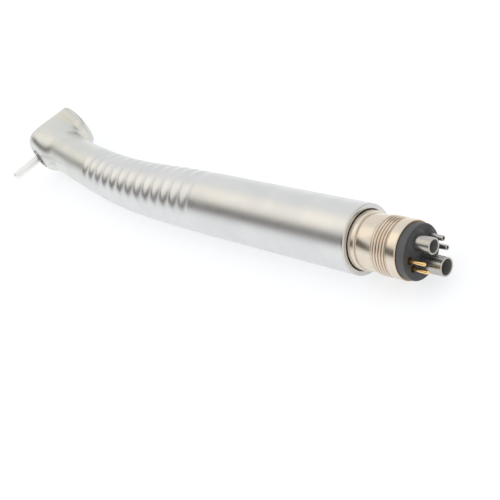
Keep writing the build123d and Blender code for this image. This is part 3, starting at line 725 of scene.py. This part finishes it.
def finish(
    name, colour, tone, rough, metallic=1.0, grain=0.12, stretch=(1, 1, 1), bump=0.002,
    worn=None, crease_shade=None, **sockets,
):
    """Surface with a fine grain, slow tone changes and patchy gloss, and worn edges and painted shade in
    creases when asked.

    colour and tone are the two colours it drifts between, rough the gloss range, grain the size of the
    fine texture in mm, bump its height in mm, worn the colour on sharp edges, hollow painted shade in
    grooves.
    """
    material = bpy.data.materials.new(name)
    material.use_nodes = True
    shader = material.node_tree.nodes["Principled BSDF"]
    shader.inputs["Metallic"].default_value = metallic
    for socket, value in sockets.items():
        shader.inputs[socket.replace("_", " ")].default_value = value
    fine = noise(material, grain, stretch, detail=4.0, rough=0.6)
    patches = noise(material, 5.0, detail=3.0)
    base = blend_colours(material, remap(material, patches, 0.35, 0.65, 0, 1), colour, tone)
    edge = node(material, "ShaderNodeNewGeometry").outputs["Pointiness"]
    if worn:
        base = blend_colours(material, remap(material, edge, 0.52, 0.6, 0, 1), base, worn)
    # Painted shade: creases, found by low pointiness, are painted the dark colour.
    if crease_shade:
        base = blend_colours(material, remap(material, edge, 0.49, 0.42, 0, 1), base, crease_shade)
    link(material, base, shader.inputs["Base Color"])
    mixed = node(material, "ShaderNodeMath", operation="ADD")
    link(material, remap(material, fine, 0.3, 0.7, rough[0], rough[1]), mixed.inputs[0])
    link(material, remap(material, patches, 0.3, 0.7, -0.02, 0.03), mixed.inputs[1])
    link(material, mixed.outputs["Value"], shader.inputs["Roughness"])
    relief = node(material, "ShaderNodeBump", Strength=1.0, Distance=bump * MM)
    link(material, fine, relief.inputs["Height"])
    link(material, relief.outputs["Normal"], shader.inputs["Normal"])
    return material


def rings(across=0.05):
    """Stretch for turning lines round the handle's axis: fine along X, long the other ways."""
    return (across, 4, 4)


def make_materials():
    """One material for each finish, by name."""
    steel, cool = (0.72, 0.72, 0.715), (0.69, 0.692, 0.695)
    made = {
        "satin": finish(
            "satin_blasted_steel", steel, cool, (0.27, 0.35), grain=0.16, bump=0.004,
            worn=(0.9, 0.9, 0.89),
        ),
        "head": finish(
            "head_blasted_steel", (0.695, 0.70, 0.67), (0.665, 0.672, 0.645), (0.26, 0.34),
            grain=0.16, bump=0.004,
        ),
        "polish": finish(
            "polished_steel", (0.66, 0.65, 0.63), (0.60, 0.59, 0.575), (0.16, 0.26), grain=0.5,
            stretch=rings(), bump=0.001,
        ),
        "tube": finish(
            "tube_steel", (0.53, 0.51, 0.475), (0.47, 0.455, 0.43), (0.17, 0.27), grain=0.5,
            stretch=rings(), bump=0.0003,
        ),
        # Painted shade: the tubes' insides get a darker, less metallic copy of the tube steel, standing in
        # for the shade inside them.
        "bore": finish(
            "bore_steel_painted_shade", (0.42, 0.41, 0.38), (0.34, 0.335, 0.31), (0.24, 0.36), metallic=0.6,
            grain=0.3, stretch=rings(0.1),
        ),
        # The champagne plate gets painted shade, a dark brown, in its creases.
        "champagne": finish(
            "champagne_plate", (0.76, 0.675, 0.57), (0.72, 0.655, 0.575), (0.14, 0.26), grain=0.5,
            stretch=rings(), bump=0.0015, worn=(0.86, 0.74, 0.56), crease_shade=(0.30, 0.17, 0.075),
        ),
        "rubber": finish(
            "charcoal_rubber", (0.045, 0.045, 0.047), (0.034, 0.034, 0.036), (0.42, 0.56),
            metallic=0.0, grain=0.2, bump=0.006,
        ),
        # Painted light: the gasket's outer edge gets a lighter rubber than its face, standing in for the
        # light on its side.
        "rim": finish(
            "rubber_rim_painted_light", (0.10, 0.10, 0.102), (0.082, 0.082, 0.084), (0.5, 0.62),
            metallic=0.0, grain=0.2, bump=0.006,
        ),
        "seal": finish(
            "black_seal_rubber", (0.02, 0.02, 0.021), (0.014, 0.014, 0.015), (0.4, 0.55),
            metallic=0.0, grain=0.15, bump=0.004,
        ),
        "gold": finish(
            "contact_gold", (0.93, 0.66, 0.32), (0.88, 0.60, 0.28), (0.1, 0.18), grain=0.3,
            bump=0.0002,
        ),
        # Painted shade: the sockets' bronze is made near black, standing in for the shade in their recesses.
        "bronze": finish("socket_bronze_painted_shade", (0.09, 0.055, 0.03), (0.06, 0.04, 0.025), (0.35, 0.5), grain=0.2),
        "cap": finish(
            "cap_turned_steel", (0.70, 0.70, 0.68), (0.67, 0.675, 0.66), (0.2, 0.3), grain=0.14,
            bump=0.003,
        ),
        "button": finish(
            "button_spun_steel", (0.82, 0.815, 0.8), (0.77, 0.77, 0.765), (0.15, 0.26), grain=0.12,
            bump=0.002,
        ),
        "bur": finish(
            "bur_steel", (0.90, 0.89, 0.87), (0.86, 0.85, 0.84), (0.24, 0.34), grain=0.14,
            bump=0.001,
        ),
        "bearing": finish(
            "bearing_steel", (0.72, 0.73, 0.74), (0.66, 0.67, 0.69), (0.1, 0.2), grain=0.2,
            bump=0.001,
        ),
        "cage": finish(
            "cage_resin", (0.36, 0.16, 0.06), (0.3, 0.13, 0.05), (0.4, 0.55), metallic=0.0,
            grain=0.1, bump=0.004,
        ),
        "aluminium": finish(
            "impeller_aluminium", (0.82, 0.83, 0.84), (0.76, 0.77, 0.79), (0.25, 0.38), grain=0.12,
            bump=0.003,
        ),
        "spring": finish(
            "spring_steel", (0.6, 0.6, 0.62), (0.5, 0.5, 0.53), (0.15, 0.28), grain=0.1, bump=0.001,
        ),
        "brass": finish(
            "manifold_brass", (0.80, 0.60, 0.30), (0.74, 0.55, 0.28), (0.2, 0.34), grain=0.3,
            stretch=rings(), bump=0.002,
        ),
        "plastic": finish(
            "white_plastic", (0.82, 0.81, 0.78), (0.78, 0.77, 0.74), (0.35, 0.48), metallic=0.0,
            grain=0.3, bump=0.004,
        ),
        "glass": finish(
            "clear_glass", (0.93, 0.95, 0.95), (0.9, 0.92, 0.93), (0.03, 0.08), metallic=0.0,
            grain=0.5, bump=0.0004, Transmission_Weight=0.15, IOR=1.52,
        ),
    }
    gild(made["cap"], CAP_SEAM + 2.4, CAP_SEAM, 0.42)
    gild(made["head"], CAP_SEAM - 2.6, CAP_SEAM, 0.42, HEAD_RADIUS + 0.2)
    # Painted shade: the roots of the coupling's thread are painted dark brown.
    tint(made["champagne"], thread_root_shade(made["champagne"]), (0.34, 0.19, 0.085))
    return made


def tint(material, share, colour):
    """Blend a colour over the material's base colour by a share."""
    shader = material.node_tree.nodes["Principled BSDF"]
    plain = shader.inputs["Base Color"].links[0].from_socket
    link(material, blend_colours(material, share, plain, colour), shader.inputs["Base Color"])


def gild(material, low, high, share, near=None):
    """Straw heat tint that fades between two heights of the head, and near its axis when asked."""
    amount = remap(material, head_height(material), low, high, 0, share)
    if near:
        inside = remap(material, head_spread(material), near + 0.3, near, 0, 1)
        both = node(material, "ShaderNodeMath", operation="MULTIPLY")
        link(material, amount, both.inputs[0])
        link(material, inside, both.inputs[1])
        amount = both.outputs["Value"]
    tint(material, amount, (0.78, 0.69, 0.52))


def paint(thing, *materials):
    """Put materials on an object, in place of any it has."""
    for _ in range(max(0, len(materials) - len(thing.data.materials))):
        thing.data.materials.append(None)
    for slot, material in zip(thing.material_slots, materials):
        slot.material = material


def paint_faces(thing, number, inside):
    """Use the material of that number on the faces whose centre, in mm, passes the test."""
    for face in thing.data.polygons:
        if inside(np.array(face.center) / MM):
            face.material_index = number


# ---- Light, floor and camera --------------------------------------------------------------------

# Radiance of the studio's walls, glow and flags, and where they are: sides are directions from the
# object, and edges are cosines of the angle from the side, or sines of the height for the flags.
WALL_LIGHT = (0.93, 0.94, 0.94)
GLOW_SIDE, GLOW_EDGE, GLOW_LIGHT = (-0.69, -0.15, 0.70), (0.84, 0.98), (1.13, 1.07, 0.96)
FLAGS = (((-0.72, -0.69, 0.0), (0.14, 0.125, 0.11)), ((0.6, 0.8, 0.0), (0.5, 0.49, 0.47)))
FLAG_BOTTOM, FLAG_TOP, FLAG_SPREAD = (0.08, 0.30), (-0.66, -0.48), (0.64, 0.90)
BACKDROP = (1.0, 1.0, 1.0)

# Soft boxes: name, place and width in metres, and power in watts.
SOFT_BOXES = (("key", (-0.35, -0.10, 0.55), 0.35, 0.06), ("fill", (0.45, 0.25, 0.45), 0.3, 0.06))
SOFT_BOX_AIM = (-0.05, 0, 0)
FLOOR_WIDTH, FLOOR_GAP = 6, 0.05

# Camera fitted to the photo: place in millimetres, turn about X, Y and Z in degrees, lens and film.
CAMERA_PLACE, CAMERA_TURN = (122.72, -103.59, 134.23), (50.02983, 23.68185, 40.5122)
CAMERA_LENS, CAMERA_FILM = 85.0, 36.0


def make_world():
    """Soft studio: bright walls, a warm glow above the head and two darker flags low at the sides.

    The camera itself sees a plain white backdrop. The object is lit by, and reflects, the studio.
    """
    world = bpy.data.worlds.new("studio")
    bpy.context.scene.world = world
    world.use_nodes = True
    tree = world.node_tree
    background = tree.nodes["Background"]
    where = tree.nodes.new("ShaderNodeTexCoord")

    def lobe(direction, low, high):
        """0 to 1 as the view turns towards a direction: low and high are cosines."""
        facing = tree.nodes.new("ShaderNodeVectorMath")
        facing.operation = "DOT_PRODUCT"
        facing.inputs[1].default_value = Vector(direction).normalized()
        tree.links.new(where.outputs["Generated"], facing.inputs[0])
        soft = tree.nodes.new("ShaderNodeMapRange")
        soft.interpolation_type = "SMOOTHSTEP"
        soft.inputs["From Min"].default_value, soft.inputs["From Max"].default_value = low, high
        tree.links.new(facing.outputs["Value"], soft.inputs["Value"])
        return soft.outputs["Result"]

    def product(first, second):
        """Two sockets multiplied."""
        made = tree.nodes.new("ShaderNodeMath")
        made.operation = "MULTIPLY"
        tree.links.new(first, made.inputs[0])
        tree.links.new(second, made.inputs[1])
        return made.outputs["Value"]

    def mix(share, under, over):
        """Colour under, with the colour over laid on it by a share."""
        made = tree.nodes.new("ShaderNodeMix")
        made.data_type = "RGBA"
        sockets = [socket for socket in made.inputs if socket.type == "RGBA"]
        tree.links.new(share, made.inputs[0])
        if isinstance(under, tuple):
            sockets[0].default_value = (*under, 1)
        else:
            tree.links.new(under, sockets[0])
        sockets[1].default_value = (*over, 1)
        return next(socket for socket in made.outputs if socket.type == "RGBA")

    sky = WALL_LIGHT
    sky = mix(lobe(GLOW_SIDE, *GLOW_EDGE), sky, GLOW_LIGHT)
    for side, light in FLAGS:
        above = lobe((0, 0, 1), *FLAG_BOTTOM)
        below = lobe((0, 0, -1), *FLAG_TOP)
        flag = product(product(above, below), lobe(side, *FLAG_SPREAD))
        sky = mix(flag, sky, light)
    tree.links.new(sky, background.inputs["Color"])

    plain = tree.nodes.new("ShaderNodeBackground")
    plain.inputs["Color"].default_value = (*BACKDROP, 1)
    seen = tree.nodes.new("ShaderNodeLightPath")
    either = tree.nodes.new("ShaderNodeMixShader")
    tree.links.new(seen.outputs["Is Camera Ray"], either.inputs[0])
    tree.links.new(background.outputs[0], either.inputs[1])
    tree.links.new(plain.outputs[0], either.inputs[2])
    tree.links.new(either.outputs[0], tree.nodes["World Output"].inputs["Surface"])


def make_floor():
    """Plain pale table top under the object, lit like a light box so that shadows stay faint."""
    place = (cad_box[0][0], 0, cad_box[0][2] - FLOOR_GAP * MM)
    bpy.ops.mesh.primitive_plane_add(size=FLOOR_WIDTH, location=place)
    floor = bpy.context.object
    floor.name = "floor"
    material = bpy.data.materials.new("pale_floor")
    material.use_nodes = True
    shader = material.node_tree.nodes["Principled BSDF"]
    shader.inputs["Base Color"].default_value = (0.50, 0.50, 0.51, 1)
    shader.inputs["Roughness"].default_value = 0.9
    shader.inputs["Specular IOR Level"].default_value = 0.1
    shader.inputs["Emission Color"].default_value = (0.96, 0.98, 1.0, 1)
    shader.inputs["Emission Strength"].default_value = 0.62
    floor.data.materials.append(material)


def make_lights():
    """Two soft boxes: one high above the head end, one by the coupling."""
    for name, place, size, power in SOFT_BOXES:
        data = bpy.data.lights.new(name, "AREA")
        data.size, data.energy = size, power
        lamp = bpy.data.objects.new(name, data)
        lamp.location = place
        aim = Vector(SOFT_BOX_AIM) - Vector(place)
        lamp.rotation_euler = aim.to_track_quat("-Z", "Y").to_euler()
        bpy.context.collection.objects.link(lamp)


def make_camera():
    """Camera at the photograph's viewing angle."""
    data = bpy.data.cameras.new("camera")
    data.lens, data.sensor_width = CAMERA_LENS, CAMERA_FILM
    data.clip_start, data.clip_end = 0.005, 20.0
    camera = bpy.data.objects.new("camera", data)
    camera.location = Vector(CAMERA_PLACE) * MM
    camera.rotation_euler = [radians(angle) for angle in CAMERA_TURN]
    bpy.context.collection.objects.link(camera)
    bpy.context.scene.camera = camera


# ---- Assembly -----------------------------------------------------------------------------------

def place_piece(thing, body, slot, nodes, *materials):
    """Paint a finished piece, let it ride on its body and stand for its CAD nodes."""
    paint(thing, *materials)
    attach(thing, body)
    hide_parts(*nodes)


# Which finish each CAD node that stays visible gets.
NODE_FINISHES = {
    "bearing": (
        "lower_bearing_outer_ring", "lower_bearing_inner_ring", "lower_bearing_balls", "lower_bearing_shield",
        "upper_bearing_outer_ring", "upper_bearing_inner_ring", "upper_bearing_balls", "upper_bearing_shield",
        "spindle", "chuck_collet", "release_plunger",
    ),
    "cage": ("lower_bearing_cage", "upper_bearing_cage"),
    "seal": ("lower_bearing_o_ring", "upper_bearing_o_ring", "cap_seal_ring", "connector_o_ring"),
    "aluminium": ("impeller",),
    "spring": ("preload_washer",),
    "satin": ("spray_ring",),
    "polish": ("drive_air_pipe", "exhaust_pipe", "water_pipe", "chip_air_pipe"),
    "brass": ("tube_manifold", "lock_ring"),
    "plastic": ("lamp_socket", "pipe_spacer"),
    "glass": ("light_guide", "lamp"),
}


def assemble():
    """Finish the CAD nodes that stay, and put every Blender piece in place of its CAD nodes."""
    finishes = make_materials()
    for finish_name, names in NODE_FINISHES.items():
        for name in names:
            paint(frame["nodes"][name], finishes[finish_name])

    grip = make_grip_shell()
    place_piece(grip, "housing", "satin_steel", ["handle_shell"], finishes["satin"], finishes["polish"])
    paint_faces(grip, 1, lambda centre: centre[0] > LIP_X - POLISHED_LIP)
    head = make_head()
    place_piece(head, "housing", "satin_steel", ["head_housing"], finishes["head"])
    place_piece(make_light_window(), "housing", "guide_glass", ["light_window"], finishes["glass"])
    place_piece(make_back_cap(), "housing", "cap_steel", ["back_cap"], finishes["cap"])
    place_piece(make_push_button(), "button", "button_steel", ["push_button"], finishes["button"])
    place_piece(make_bur(), "bur", "bur_steel", ["bur_blank"], finishes["bur"])
    spring = make_spring()
    place_piece(spring, "housing", "spring_steel", ["button_spring"], finishes["spring"])
    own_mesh(spring)

    place_piece(make_connector(), "housing", "champagne_metal", ["connector_body"], finishes["champagne"])
    gasket = make_gasket()
    place_piece(gasket, "housing", "black_rubber", ["gasket"], finishes["rubber"], finishes["rim"])
    # Painted light: the gasket's outer edge is painted in the lighter rubber.
    paint_faces(gasket, 1, lambda centre: np.hypot(centre[1], centre[2]) > GASKET_RADIUS - LIT_RIM_WIDTH)
    place_piece(make_lip_seal(), "housing", "black_rubber", ["lip_ring"], finishes["seal"])
    for name, tube in TUBES.items():
        stub = make_tube(name, tube)
        place_piece(stub, "housing", "tube_steel", [name], finishes["tube"], finishes["bore"])
        middle = np.array((tube["y"], tube["z"]))
        limit = tube["inner"] + 0.01
        # Painted shade: the faces inside each bore are painted with the darker bore steel.
        paint_faces(stub, 1, lambda centre: np.linalg.norm(centre[1:] - middle) < limit)
    for number, side in ((1, 1), (2, -1)):
        pin, sleeve = make_pin(number, side), make_sleeve(number, side)
        place_piece(pin, "housing", "contact_gold", [f"contact_pin_{number}"], finishes["gold"])
        # The sleeves carry the near black bronze, painted shade of their recesses.
        place_piece(sleeve, "housing", "manifold_brass", [f"contact_sleeve_{number}"], finishes["bronze"])


make_camera()
make_world()
make_floor()
make_lights()
assemble()
bpy.context.scene.view_settings.view_transform = "Standard"
